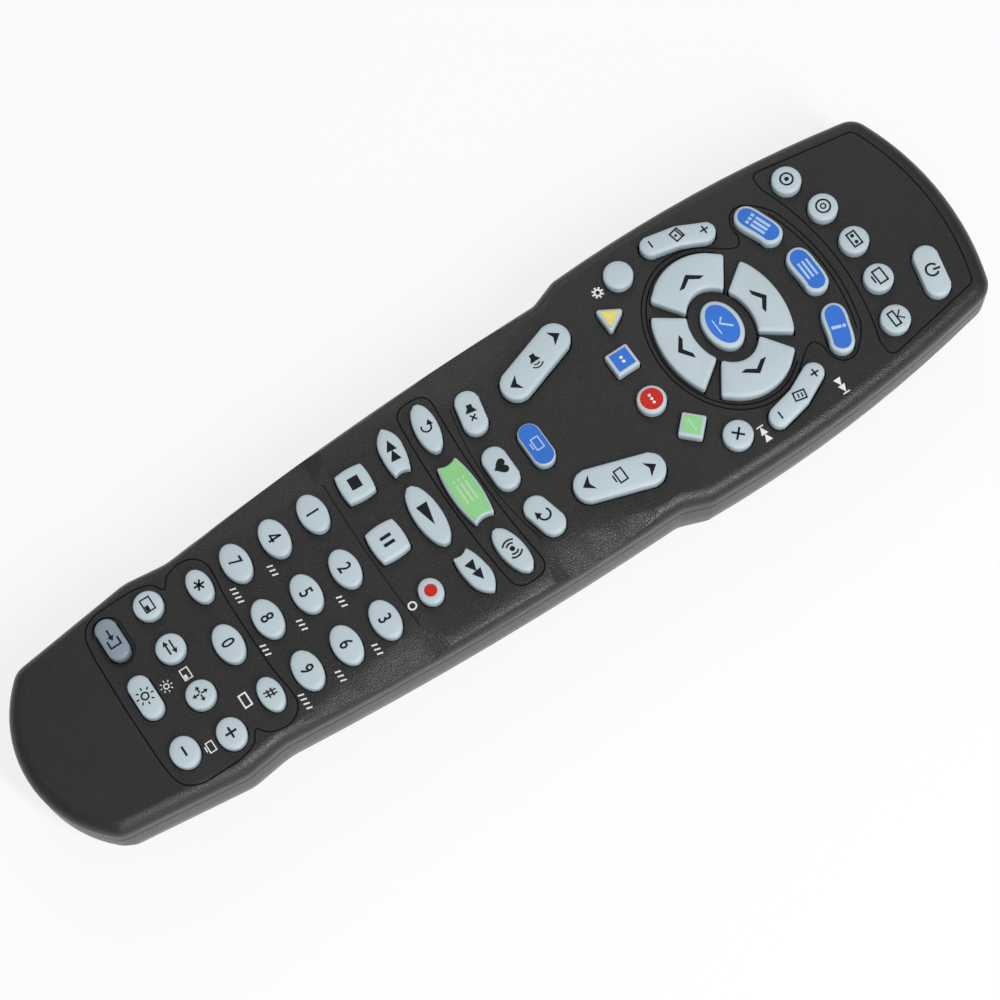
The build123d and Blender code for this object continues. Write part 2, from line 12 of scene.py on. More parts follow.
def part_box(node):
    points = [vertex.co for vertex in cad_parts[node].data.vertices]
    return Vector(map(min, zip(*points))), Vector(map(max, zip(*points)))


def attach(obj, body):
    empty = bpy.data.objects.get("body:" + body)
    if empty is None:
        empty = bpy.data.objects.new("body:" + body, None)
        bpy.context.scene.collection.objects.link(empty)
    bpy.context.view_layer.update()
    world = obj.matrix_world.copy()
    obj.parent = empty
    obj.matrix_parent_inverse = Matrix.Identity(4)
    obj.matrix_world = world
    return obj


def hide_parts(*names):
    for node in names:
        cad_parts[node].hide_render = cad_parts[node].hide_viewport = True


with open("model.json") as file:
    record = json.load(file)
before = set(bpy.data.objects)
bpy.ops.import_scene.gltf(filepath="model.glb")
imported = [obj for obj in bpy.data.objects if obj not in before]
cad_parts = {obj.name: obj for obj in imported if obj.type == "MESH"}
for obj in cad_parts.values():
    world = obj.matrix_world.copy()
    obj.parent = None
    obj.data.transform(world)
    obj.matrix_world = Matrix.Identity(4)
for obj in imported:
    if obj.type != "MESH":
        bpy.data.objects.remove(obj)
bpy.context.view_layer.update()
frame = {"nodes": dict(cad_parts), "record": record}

bl_info = {
    "name": "Remote Control Look",
    "version": (1, 0, 0),
    "blender": (4, 5, 0),
    "location": "3D View > Sidebar > Remote",
    "description": "Dresses the remote control's frame with soft keys, signs, materials and a studio",
    "category": "Object",
}

MM = 0.001
HOUSING = "housing"

# Heights in millimetres, read from the frame
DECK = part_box("upper_case")[1].z / MM
KEY_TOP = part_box("key_5")[1].z / MM
KEY_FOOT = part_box("key_5")[0].z / MM

# The soft keys begin above the flanges that hold them, and end a little lower than the frame's keys,
# so that the signs on them stay inside its box
CAP_FOOT = KEY_FOOT + 0.8
CAP_TOP = KEY_TOP - 0.08

# The case's outer skin, to lay lines and signs on: the height over the deck that it is looked for from,
# and how far below the deck it still counts as the top
CASE_MESH = frame["nodes"]["upper_case"].data
CASE_TREE = BVHTree.FromPolygons(
    [vertex.co for vertex in CASE_MESH.vertices],
    [face.vertices for face in CASE_MESH.polygons],
)
LOOK_FROM = 10.0
LOWEST_TOP = 2.2

# A soft key's top: rings in its rounded edge, and the low dome's reach in from the edge, its rise, and the
# share of the rise that is still to come halfway in
EDGE_STEPS = 5
DOME_REACH = 0.9
DOME_RISE = 0.12
HALFWAY_DROP = 0.35

# Faces this close to a key's highest corner belong to its flat top
SAME_HEIGHT = 0.001

# Outlines moved inwards: the length of a step, the sum of two sides' directions that counts as folded back,
# and the least cosine by which a sharp corner's way is stretched
INSET_STEP = 0.08
FOLDED = 0.01
LEAST_COSINE = 0.5

# Outlines finer than the frame's: largest turn that counts as round, and the ring keys' corners
ROUND_TURN = math.radians(40)
CORNER_ANGLE = math.radians(155)
RING_CORNER = 0.8
RING_NODES = ("key_up", "key_down", "key_left", "key_right")

# Turns of the keys' signs in degrees, for keys that are not upright
TILTS = {
    "key_power": -14.0,
    "key_guide": 19.6,
    "key_info": -19.6,
    "key_mute": -12.0,
    "key_last": 14.0,
    "key_replay": -8.0,
    "key_live": 8.0,
    "key_rewind": -8.0,
    "key_forward": 8.0,
    "key_stop": -3.0,
}

# Digits: how far their outlines are moved outwards, in shares of their height, their narrowing, the height
# at which the drawn 4 is laid out, and the height of the hash sign
DIGIT_BOLD = 0.012
DIGIT_SQUEEZE = 0.8
FOUR_HEIGHT = 2.9
HASH_HEIGHT = 2.7

# Signs: widths of their lines in millimetres, and sides of a full ring, a dot and a heart
THIN_LINE = 0.34
LINE = 0.36
THICK_LINE = 0.45
RING_SIDES = 24
DOT_SIDES = 20
HEART_SIDES = 24

# Keys whose rim stays pale round a coloured print, with the print's distance from the edge
INSETS = {
    "key_guide": ("print_blue", 0.75),
    "key_menu": ("print_blue", 0.75),
    "key_info": ("print_blue", 0.75),
    "key_select": ("print_blue", 1.0),
    "key_a": ("print_yellow", 0.7),
    "key_b": ("print_blue", 0.7),
    "key_c": ("print_red", 0.75),
    "key_d": ("print_green", 0.7),
    "key_library": ("print_blue", 0.35),
    "key_list": ("print_green", 0.4),
}


class RemoteSizes(bpy.types.PropertyGroup):
    """Sizes that a user would change"""

    edge_round: FloatProperty(
        name="Key edge rounding",
        description="Radius of the rounded edge round each key's top",
        default=0.55 * MM,
        min=0.1 * MM,
        max=1.0 * MM,
        unit="LENGTH",
    )
    ink_lift: FloatProperty(
        name="Ink thickness",
        description="How far a printed sign stands above what carries it",
        default=0.03 * MM,
        min=0.01 * MM,
        max=0.1 * MM,
        unit="LENGTH",
    )
    groove: FloatProperty(
        name="Groove width",
        description="Width of the lines that divide the deck into fields",
        default=0.32 * MM,
        min=0.2 * MM,
        max=1.0 * MM,
        unit="LENGTH",
    )
    digit_height: FloatProperty(
        name="Digit height",
        description="Height of the digits on the number keys",
        default=2.9 * MM,
        min=1.0 * MM,
        max=4.0 * MM,
        unit="LENGTH",
    )


def colour_property(label, words, value):
    """A colour setting with its label, description and default."""
    return FloatVectorProperty(
        name=label, description=words, default=value, size=3, min=0.0, max=1.0, subtype="COLOR"
    )


class RemoteColours(bpy.types.PropertyGroup):
    """Colours that a user would change"""

    housing: colour_property("Housing", "Colour of the case halves and the door", (0.0115, 0.0112, 0.0112))
    keys: colour_property("Keys", "Colour of the pale soft keys", (0.465, 0.558, 0.611))
    slate: colour_property("Source key", "Colour of the darker grey key", (0.22, 0.28, 0.34))
    blue: colour_property("Blue", "Blue of the printed keys", (0.035, 0.16, 0.60))
    red: colour_property("Red", "Red of the printed key and dot", (0.53, 0.018, 0.012))
    green: colour_property("Green", "Green of the printed keys", (0.26, 0.60, 0.25))
    yellow: colour_property("Yellow", "Yellow of the printed key", (0.80, 0.66, 0.16))
    ink: colour_property("Ink", "Colour of the dark signs", (0.005, 0.006, 0.011))
    light_ink: colour_property("Light ink", "Colour of the white signs", (0.74, 0.76, 0.77))
    pale_blue: colour_property("Pale blue ink", "Colour of the signs on the blue keys", (0.40, 0.54, 0.80))
    pale_green: colour_property("Pale green ink", "Colour of the signs on green keys", (0.44, 0.68, 0.42))
    pale_yellow: colour_property("Pale yellow ink", "Colour of the yellow key's sign", (0.78, 0.72, 0.40))
    floor: colour_property("Floor", "Colour of the ground", (0.90, 0.90, 0.90))


# Materials

# Every material by its name, filled by surface_named
SURFACES = {}

# The band of a noise that is stretched over a whole range
NOISE_BAND = (0.3, 0.7)

# Sizes of the patterns, larger numbers for finer ones
BROAD_SCALE = 60.0
WEAR_SCALE = 35.0
SPARKLE_SCALE = 3800.0

# The housing's plastic: roughness, what the sparkle adds to it, the sparkle's depth in millimetres, gloss
HOUSING_ROUGH = (0.31, 0.37)
SPARKLE_ROUGH = (-0.07, 0.09)
SPARKLE_DEPTH = 0.10
HOUSING_GLOSS = 0.54


def new_material(name):
    """A fresh material and its nodes, with a principled shader wired to the output."""
    material = bpy.data.materials.new(name)
    material.use_nodes = True
    nodes = material.node_tree.nodes
    return material, nodes, material.node_tree.links, nodes["Principled BSDF"]


def noise(nodes, links, scale, detail):
    """Noise in the object's own space, so it moves with the piece."""
    where = nodes.new("ShaderNodeTexCoord")
    texture = nodes.new("ShaderNodeTexNoise")
    texture.inputs["Scale"].default_value = scale
    texture.inputs["Detail"].default_value = detail
    links.new(where.outputs["Object"], texture.inputs["Vector"])
    return texture


def ramp(nodes, links, source, low, high):
    """Maps a noise onto low to high."""
    mapped = nodes.new("ShaderNodeMapRange")
    mapped.inputs["From Min"].default_value = NOISE_BAND[0]
    mapped.inputs["From Max"].default_value = NOISE_BAND[1]
    mapped.inputs["To Min"].default_value = low
    mapped.inputs["To Max"].default_value = high
    links.new(source, mapped.inputs["Value"])
    return mapped.outputs["Result"]


def tinted(nodes, links, source, colour, spread):
    """The colour, varied in brightness by a noise."""
    mix = nodes.new("ShaderNodeMix")
    mix.data_type = "RGBA"
    mix.inputs["A"].default_value = (*[c * (1 - spread) for c in colour], 1)
    mix.inputs["B"].default_value = (*[min(1, c * (1 + spread)) for c in colour], 1)
    links.new(ramp(nodes, links, source, 0, 1), mix.inputs["Factor"])
    return mix.outputs["Result"]


def bump(nodes, links, source, distance, strength):
    """A bump of the given depth in metres."""
    node = nodes.new("ShaderNodeBump")
    node.inputs["Distance"].default_value = distance
    node.inputs["Strength"].default_value = strength
    links.new(source, node.inputs["Height"])
    return node.outputs["Normal"]


def surface(name, colour, rough, spread=0.06, grain=900.0, depth=0.02, strength=0.3, metal=0.0, gloss=0.5):
    """A procedural surface with varied colour, varied roughness and a fine bump."""
    material, nodes, links, shader = new_material(name)
    broad = noise(nodes, links, BROAD_SCALE, 3.0)
    fine = noise(nodes, links, grain, 2.0)
    links.new(tinted(nodes, links, broad.outputs["Fac"], colour, spread), shader.inputs["Base Color"])
    links.new(ramp(nodes, links, fine.outputs["Fac"], *rough), shader.inputs["Roughness"])
    links.new(bump(nodes, links, fine.outputs["Fac"], depth * MM, strength), shader.inputs["Normal"])
    shader.inputs["Metallic"].default_value = metal
    shader.inputs["Specular IOR Level"].default_value = gloss
    return material


def housing_surface(colour):
    """Dark plastic with a fine moulded sparkle and faint wear."""
    material, nodes, links, shader = new_material("housing_plastic")
    wear = noise(nodes, links, WEAR_SCALE, 4.0)
    sparkle = noise(nodes, links, SPARKLE_SCALE, 1.0)
    links.new(tinted(nodes, links, wear.outputs["Fac"], colour, spread=0.10), shader.inputs["Base Color"])
    rough = nodes.new("ShaderNodeMath")
    rough.operation = "ADD"
    links.new(ramp(nodes, links, sparkle.outputs["Fac"], *SPARKLE_ROUGH), rough.inputs[0])
    links.new(ramp(nodes, links, wear.outputs["Fac"], *HOUSING_ROUGH), rough.inputs[1])
    links.new(rough.outputs["Value"], shader.inputs["Roughness"])
    relief = bump(nodes, links, sparkle.outputs["Fac"], SPARKLE_DEPTH * MM, strength=1.0)
    links.new(relief, shader.inputs["Normal"])
    shader.inputs["Specular IOR Level"].default_value = HOUSING_GLOSS
    return material


def surface_settings(colours):
    """What sets each material apart, by its name, for all but the housing's."""
    rubber = {"rough": (0.42, 0.56), "spread": 0.035, "grain": 1400.0, "depth": 0.01}
    ink = {"rough": (0.45, 0.6), "spread": 0.08, "grain": 3000.0, "depth": 0.004, "gloss": 0.25}
    return {
        "key_silicone": {"colour": colours.keys, **rubber},
        "key_slate": {"colour": colours.slate, **rubber},
        "print_blue": {"colour": colours.blue, **ink},
        "print_red": {"colour": colours.red, **ink},
        "print_green": {"colour": colours.green, **ink},
        "print_yellow": {"colour": colours.yellow, **ink},
        "ink": {"colour": colours.ink, **ink},
        "light_ink": {"colour": colours.light_ink, **ink},
        "pale_blue": {"colour": colours.pale_blue, **ink},
        "pale_green": {"colour": colours.pale_green, **ink},
        "pale_yellow": {"colour": colours.pale_yellow, **ink},
        # Painted shade: dark strips that stand in for the shade inside the deck's grooves, the clear ones
        # and the faint ones
        "painted_groove_shade": {"colour": (0.003, 0.003, 0.003), "rough": (0.6, 0.8), "gloss": 0.1},
        "painted_faint_groove_shade": {"colour": (0.008, 0.008, 0.008), "rough": (0.5, 0.7), "gloss": 0.2},
        # Painted highlight: a paler strip that stands in for the light on a groove's lip
        "painted_groove_highlight": {"colour": (0.026, 0.025, 0.025), "rough": (0.35, 0.5), "gloss": 0.4},
        "window_plastic": {"colour": (0.012, 0.004, 0.006), "rough": (0.08, 0.14), "depth": 0.002},
        "board_laminate": {"colour": (0.02, 0.12, 0.04), "rough": (0.3, 0.42), "spread": 0.15},
        "component_plastic": {"colour": (0.015, 0.015, 0.016), "rough": (0.4, 0.6)},
        "emitter_resin": {"colour": (0.20, 0.23, 0.45), "rough": (0.08, 0.16), "depth": 0.002},
        "cell_sleeve": {"colour": (0.035, 0.04, 0.05), "rough": (0.22, 0.34), "metal": 0.6},
        "contact_steel": {"colour": (0.62, 0.61, 0.58), "rough": (0.2, 0.35), "metal": 1.0},
        "screw_steel": {"colour": (0.35, 0.35, 0.36), "rough": (0.25, 0.4), "metal": 1.0},
    }


def surface_named(name):
    """A material by its name. All of them are made when the first is asked for."""
    if not SURFACES:
        colours = bpy.context.scene.remote_colours
        SURFACES["housing_plastic"] = housing_surface(colours.housing)
        for made, settings in surface_settings(colours).items():
            SURFACES[made] = surface(made, **settings)
    return SURFACES[name]


# Outlines and shapes, in millimetres


def loops_on_top(node):
    """The outlines of a node's highest faces, each a list of (x, y) in order, anticlockwise."""
    mesh = frame["nodes"][node].data
    top = max(v.co.z for v in mesh.vertices)
    place = {}
    for vertex in mesh.vertices:
        place[vertex.index] = tuple(round(c / MM, 4) for c in vertex.co)
    edges = {}
    for face in mesh.polygons:
        corners = [place[i] for i in face.vertices]
        if any(abs(c[2] - top / MM) > SAME_HEIGHT for c in corners):
            continue
        for start, end in zip(corners, corners[1:] + corners[:1]):
            if (end, start) in edges:
                del edges[(end, start)]
            else:
                edges[(start, end)] = True
    follow = {start: end for start, end in edges}
    loops = []
    while follow:
        start = next(iter(follow))
        loop = [start]
        while follow[loop[-1]] != start:
            loop.append(follow.pop(loop[-1]))
        follow.pop(loop[-1])
        loops.append([(x, y) for x, y, z in loop])
    return sorted(loops, key=lambda loop: centre(loop)[0])


def centre(loop):
    """The middle of an outline's box."""
    xs = [x for x, y in loop]
    ys = [y for x, y in loop]
    return (min(xs) + max(xs)) / 2, (min(ys) + max(ys)) / 2


def inward(before, here, after):
    """The direction from a corner that keeps both its edges' distances equal, for one unit of inset."""
    first = (here - before).normalized()
    second = (after - here).normalized()
    side = Vector((-first.y, first.x))
    normal = side + Vector((-second.y, second.x))
    if normal.length < FOLDED:
        return side
    normal.normalize()
    return normal / max(LEAST_COSINE, normal.dot(side))


def drawn_in(loop, distance):
    """The outline moved inwards in small steps, so that tight corners close up and never cross."""
    points = [Vector(p) for p in loop]
    count = len(points)
    steps = max(1, math.ceil(distance / INSET_STEP))
    for _ in range(steps):
        moved = []
        for index, here in enumerate(points):
            back = 1
            while back < count and (points[index - back] - here).length < INSET_STEP:
                back += 1
            ahead = 1
            while ahead < count and (points[(index + ahead) % count] - here).length < INSET_STEP:
                ahead += 1
            way = inward(points[index - back], here, points[(index + ahead) % count])
            moved.append(here + way * (distance / steps))
        for index in range(count):
            if (moved[index] - moved[index - 1]).length < INSET_STEP:
                middle = (moved[index] + moved[index - 1]) / 2
                moved[index], moved[index - 1] = middle, middle.copy()
        points = moved
    return [tuple(p) for p in points]


def rounder(loop):
    """The outline with a point added to each edge of a round stretch, at the top of the edge's arc.

    An edge is on a round stretch if it turns little at both ends and its neighbours are about as long.
    """
    points = [Vector(p) for p in loop]
    count = len(points)
    done = []
    for index, here in enumerate(points):
        after = points[(index + 1) % count]
        edge = after - here
        back = here - points[index - 1]
        ahead = points[(index + 2) % count] - after
        done.append(tuple(here))
        turns = (back.angle(edge), edge.angle(ahead))
        shorter, longer = sorted((back.length, ahead.length))
        if max(turns) < ROUND_TURN and longer / 2 < edge.length < shorter * 4:
            arc = sum(turns) / 2
            bulge = edge.length / 2 * math.tan(arc / 4)
            side = Vector((edge.y, -edge.x)).normalized()
            if back.cross(edge) < 0:
                side = -side
            done.append(tuple((here + after) / 2 + side * bulge))
    return done


def smooth_loop(node, loop):
    """A key's outline with its round stretches made finer and the ring's corners cut round."""
    if node in RING_NODES:
        loop = round_corners(loop, RING_CORNER)
    return rounder(rounder(loop))


def bar(x, y, width, height):
    """A rectangle about a middle."""
    half_x, half_y = width / 2, height / 2
    return [
        (x - half_x, y - half_y),
        (x + half_x, y - half_y),
        (x + half_x, y + half_y),
        (x - half_x, y + half_y),
    ]


def stroke(points, width, closed=False):
    """Quads that follow a line at an even width."""
    count = len(points)
    left, right = [], []
    for index in range(count):
        before = Vector(points[index - 1] if closed or index else points[0])
        after = Vector(points[(index + 1) % count] if closed or index + 1 < count else points[-1])
        along = (after - before).normalized()
        side = Vector((-along.y, along.x)) * width / 2
        left.append(tuple(Vector(points[index]) + side))
        right.append(tuple(Vector(points[index]) - side))
    quads = []
    for index in range(count if closed else count - 1):
        other = (index + 1) % count
        quads.append([right[index], right[other], left[other], left[index]])
    return quads


def arc_points(radius, start, end, x=0.0, y=0.0, steps=16, squash=1.0):
    """Points along an arc, in degrees."""
    points = []
    for index in range(steps + 1):
        turn = math.radians(start + (end - start) * index / steps)
        points.append((x + radius * math.cos(turn), y + squash * radius * math.sin(turn)))
    return points


def ring(radius, width, x=0.0, y=0.0):
    """A full ring."""
    return stroke(arc_points(radius, 0, 360, x, y, RING_SIDES)[:-1], width, True)


def dot(radius, x=0.0, y=0.0):
    """A filled disc."""
    return [arc_points(radius, 0, 360, x, y, DOT_SIDES)[:-1]]


def box_frame(width, height, line, x=0.0, y=0.0):
    """A rectangle's outline drawn as four bars."""
    half_x, half_y = (width - line) / 2, (height - line) / 2
    return [
        bar(x, y + half_y, width, line),
        bar(x, y - half_y, width, line),
        bar(x - half_x, y, line, height - 2 * line),
        bar(x + half_x, y, line, height - 2 * line),
    ]


def placed(shapes, x=0.0, y=0.0, turn=0.0, scale=1.0):
    """Shapes turned, scaled and moved."""
    spin = math.radians(turn)
    cos, sin = math.cos(spin) * scale, math.sin(spin) * scale
    return [[(x + cos * px - sin * py, y + sin * px + cos * py) for px, py in shape] for shape in shapes]


def mirrored(shapes):
    """Shapes flipped left to right, with their winding kept."""
    return [[(-x, y) for x, y in reversed(shape)] for shape in shapes]


def spokes(shapes, count):
    """Shapes repeated round the middle."""
    repeated = []
    for index in range(count):
        repeated += placed(shapes, turn=360 / count * index)
    return repeated


def written(text, height):
    """A digit or sign as flat shapes of the given height."""
    curve = bpy.data.curves.new("sign", "FONT")
    curve.body = text
    curve.offset = DIGIT_BOLD
    maker = bpy.data.objects.new("sign", curve)
    mesh = bpy.data.meshes.new_from_object(maker)
    places = [(v.co.x, v.co.y) for v in mesh.vertices]
    middle_x, middle_y = centre(places)
    ys = [y for x, y in places]
    tall = height / (max(ys) - min(ys))
    wide = tall * DIGIT_SQUEEZE
    shapes = []
    for face in mesh.polygons:
        corners = [places[i] for i in face.vertices]
        shapes.append([((x - middle_x) * wide, (y - middle_y) * tall) for x, y in corners])
    bpy.data.meshes.remove(mesh)
    bpy.data.objects.remove(maker)
    bpy.data.curves.remove(curve)
    return shapes


# Signs, in millimetres about their middle


def sign_power():
    return stroke(arc_points(1.35, 125, 415), THICK_LINE) + [bar(0, 1.0, THICK_LINE, 1.6)]


def sign_jack():
    return ring(1.35, 0.4) + dot(0.5)


def sign_disc():
    return ring(1.5, 0.38) + ring(0.55, 0.3)


def sign_cassette():
    return box_frame(3.6, 2.3, 0.35) + dot(0.42, -0.8) + dot(0.42, 0.8)


def sign_screen():
    return box_frame(3.5, 2.3, LINE, 0, 0.3) + [bar(0, -1.35, 1.8, LINE)]


def sign_box():
    aerials = stroke([(-1.1, 1.6), (0, 0.5), (1.1, 1.6)], THIN_LINE)
    return box_frame(3.6, 1.7, LINE, 0, -0.4) + aerials


def sign_grid():
    shapes = []
    for y in (-1.0, 0.0, 1.0):
        shapes += [bar(-2.2, y, 0.8, 0.62), bar(0.5, y, 3.6, 0.62)]
    return shapes


def sign_menu():
    return [bar(0, y, 4.2, 0.5) for y in (-1.0, 0.0, 1.0)]


def sign_info():
    return dot(0.42, 0, 1.25) + [bar(0, -0.4, 0.72, 2.1)]


def sign_tick():
    return stroke([(-1.5, 0.2), (-0.4, -0.9), (1.7, 1.3)], 0.5) + [bar(0, -1.9, 3.8, 0.28)]


def sign_chevron():
    return [
        [(-3.1, -1.0), (-1.9, -1.15), (0, 0.1), (0, 1.3)],
        [(0, 0.1), (1.9, -1.15), (3.1, -1.0), (0, 1.3)],
    ]


def sign_arrowhead():
    return [[(-1.75, -1.0), (0, -0.3), (0, 1.3)], [(0, -0.3), (1.75, -1.0), (0, 1.3)]]


def sign_speaker():
    return [[(-1.6, -0.6), (-0.8, -0.6), (0.2, -1.3), (0.2, 1.3), (-0.8, 0.6), (-1.6, 0.6)]]


def sign_volume():
    waves = stroke(arc_points(0.9, -50, 50, 0.1, 0, 6), 0.3)
    waves += stroke(arc_points(1.7, -50, 50, 0.1, 0, 8), 0.3)
    return sign_speaker() + waves


def sign_mute():
    cross = stroke([(0.8, -0.6), (2.0, 0.6)], THIN_LINE) + stroke([(0.8, 0.6), (2.0, -0.6)], THIN_LINE)
    return sign_speaker() + cross


def sign_heart():
    """A heart by the usual formula, which draws it 32 wide."""
    size = 0.105
    lift = 0.15
    points = []
    for index in range(HEART_SIDES):
        turn = 2 * math.pi * index / HEART_SIDES
        x = 16 * math.sin(turn) ** 3
        y = 13 * math.cos(turn) - 5 * math.cos(2 * turn) - 2 * math.cos(3 * turn) - math.cos(4 * turn)
        points.append((-x * size, y * size + lift))
    return [points]


def sign_back():
    bend = stroke(arc_points(1.25, -120, 120), 0.42)
    head = [[(-0.2, 1.95), (-1.75, 1.15), (-0.45, 0.3)]]
    return bend + head


def sign_live():
    shapes = dot(0.55)
    for radius in (1.2, 2.0):
        shapes += stroke(arc_points(radius, -45, 45, 0, 0, 6), LINE)
        shapes += stroke(arc_points(radius, 135, 225, 0, 0, 6), LINE)
    return shapes


def sign_list():
    shapes = []
    for y in (-1.1, 0.0, 1.1):
        shapes += [bar(-2.6, y, 0.6, 0.5), bar(0.6, y, 4.6, 0.5)]
    return shapes


def sign_play():
    return [[(-2.4, -1.3), (2.8, 0), (-2.4, 1.3)]]


def sign_forward():
    return [[(-2.35, -1.15), (0.1, 0), (-2.35, 1.15)], [(-0.05, -1.15), (2.4, 0), (-0.05, 1.15)]]


def sign_skip():
    return sign_forward() + [bar(2.6, 0, 0.4, 2.3)]


def sign_rewind():
    return mirrored(sign_forward())


def sign_stop():
    return [bar(0, 0, 2.7, 2.4)]


def sign_pause():
    return [bar(-0.8, 0, 0.72, 2.5), bar(0.8, 0, 0.72, 2.5)]


def sign_plus():
    return [bar(0, 0, 2.5, 0.46), bar(0, 0.74, 0.46, 1.02), bar(0, -0.74, 0.46, 1.02)]


def sign_minus():
    return [bar(0, 0, 2.2, 0.46)]


def sign_calendar():
    return box_frame(2.6, 2.4, THIN_LINE) + [bar(0, 0.55, 1.9, THIN_LINE), bar(0, -0.3, 0.6, 0.5)]


def sign_page():
    return box_frame(2.2, 2.8, THIN_LINE) + [bar(0, 0.5, 1.0, 0.3), bar(0, -0.3, 1.0, 0.3)]


def sign_gear():
    return ring(0.85, 0.5) + spokes([bar(0, 1.35, 0.5, 0.6)], 8)


def sign_leave():
    cross = stroke([(-1.0, -1.0), (1.0, 1.0)], THICK_LINE)
    return cross + stroke([(-1.0, 1.0), (1.0, -1.0)], THICK_LINE)


def sign_picture():
    return box_frame(3.6, 2.6, THIN_LINE) + [bar(0.75, -0.45, 1.3, 0.9)]


def sign_swap():
    arrow = [bar(-0.35, 0.6, 2.2, LINE), [(0.7, 0.0), (1.8, 0.6), (0.7, 1.2)]]
    return spokes(arrow, 2)


def sign_move():
    return spokes([bar(0, 0.75, LINE, 1.0), [(-0.6, 1.15), (0.6, 1.15), (0, 1.95)]], 4)


def sign_input():
    arrow = [bar(-1.3, 0, 1.8, 0.4), [(-0.6, -0.75), (0.5, 0), (-0.6, 0.75)]]
    walls = [bar(1.9, 0, 0.4, 2.8), bar(0.9, 1.2, 1.6, 0.4), bar(0.9, -1.2, 1.6, 0.4)]
    return arrow + walls


def sign_sun():
    return ring(0.75, THIN_LINE) + spokes([bar(0, 1.65, 0.3, 0.6)], 8)


def row_places(count, gap):
    """The places of a row's members about its middle."""
    return [(index - (count - 1) / 2) * gap for index in range(count)]


def sign_dots(count):
    """A row of dots that tells four coloured keys apart."""
    shapes = []
    for x in row_places(count, 1.0):
        shapes += dot(0.36, x)
    return shapes


def sign_ticks(count):
    """Short slanted strokes beside a number key."""
    lean = 0.18
    half_height = 0.62
    shapes = []
    for x in row_places(count, 1.05):
        shapes += stroke([(x - lean, -half_height), (x + lean, half_height)], THIN_LINE)
    return shapes


def sign_four(height):
    """A 4 in three strokes, drawn FOUR_HEIGHT high, because the font's own clogs at this size."""
    slant = stroke([(0.33, 1.3), (-0.72, -0.62)], LINE)
    strokes = slant + [bar(0.35, 0, 0.42, FOUR_HEIGHT), bar(-0.02, -0.62, 1.8, 0.4)]
    return placed(strokes, scale=height / FOUR_HEIGHT)


def sign_star():
    return dot(0.3) + spokes([bar(0, 0.65, 0.4, 1.1)], 6)


# Pieces


def key_nodes():
    """The names of all the key nodes."""
    return sorted(name for name in frame["nodes"] if "key" in name and name != "key_mat")


def own_slot(node):
    """The material slot that the record gives a node."""
    for part in frame["record"]["subparts"]:
        if part["node"] == node:
            return part["material_slot"]
    raise RuntimeError("no slot for " + node)


def add_piece(name, points, faces, material, body, smooth=False):
    """A mesh piece, given in millimetres, that rides a body."""
    mesh = bpy.data.meshes.new(name)
    mesh.from_pydata([Vector(p) * MM for p in points], [], faces)
    mesh.polygons.foreach_set("use_smooth", [smooth] * len(mesh.polygons))
    mesh.materials.append(surface_named(material))
    mesh.update()
    piece = bpy.data.objects.new(name, mesh)
    bpy.context.scene.collection.objects.link(piece)
    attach(piece, body)
    return piece


def add_print(name, shapes, height_at, material, body):
    """Flat shapes printed on a piece, at the height that height_at gives for each place."""
    points, faces = [], []
    for shape in shapes:
        start = len(points)
        points += [(x, y, height_at(x, y)) for x, y in shape]
        faces.append(list(range(start, len(points))))
    add_piece(name, points, faces, material, body)


def add_key_print(name, shapes, lift, material, node):
    """Flat shapes printed on a key's top."""
    add_print(name, shapes, lambda x, y: CAP_TOP + lift, material, node)


def deck_height(x, y):
    """The height of the case's top at a place, or the flat deck's over an opening."""
    start = Vector((x, y, DECK + LOOK_FROM)) * MM
    place = CASE_TREE.ray_cast(start, Vector((0, 0, -1)), 2 * LOOK_FROM * MM)[0]
    if place is None or place.z / MM < DECK - LOWEST_TOP:
        return DECK
    return place.z / MM


def add_deck_print(name, shapes, lift, material):
    """Flat shapes laid on the case's top, also where it slopes."""
    add_print(name, shapes, lambda x, y: deck_height(x, y) + lift, material, HOUSING)


def cap_rings(loop):
    """The rings of a soft key's cap from its foot to its flat middle."""
    round_by = bpy.context.scene.remote_sizes.edge_round / MM
    shoulder = CAP_TOP - DOME_RISE
    rings = [(loop, CAP_FOOT), (loop, shoulder - round_by)]
    for step in range(1, EDGE_STEPS + 1):
        turn = math.radians(90 * step / EDGE_STEPS)
        inset = round_by * (1 - math.cos(turn))
        drop = round_by * (1 - math.sin(turn))
        rings.append((drawn_in(loop, inset), shoulder - drop))
    halfway = (round_by + DOME_REACH) / 2
    rings.append((drawn_in(loop, halfway), CAP_TOP - DOME_RISE * HALFWAY_DROP))
    rings.append((drawn_in(loop, DOME_REACH), CAP_TOP))
    return rings


def add_cap(node):
    """The soft key that stands for a CAD key."""
    points, faces = [], []
    for loop in loops_on_top(node):
        loop = smooth_loop(node, loop)
        count = len(loop)
        start = len(points)
        rings = cap_rings(loop)
        for outline, height in rings:
            points += [(x, y, height) for x, y in outline]
        for level in range(len(rings) - 1):
            low = start + level * count
            for index in range(count):
                other = (index + 1) % count
                faces.append([low + index, low + other, low + count + other, low + count + index])
        faces.append(list(range(len(points) - count, len(points))))
        faces.append(list(reversed(range(start, start + count))))
    slot = own_slot(node)
    material = "key_slate" if slot == "key_slate" else "key_silicone"
    cap = add_piece(node + "_cap", points, faces, material, node, smooth=True)
    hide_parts(node)


class REMOTE_OT_caps(bpy.types.Operator):
    """Makes the soft keys"""

    bl_idname = "remote.caps"
    bl_label = "Soft keys"

    def execute(self, context):
        for node in key_nodes():
            add_cap(node)
        return {"FINISHED"}


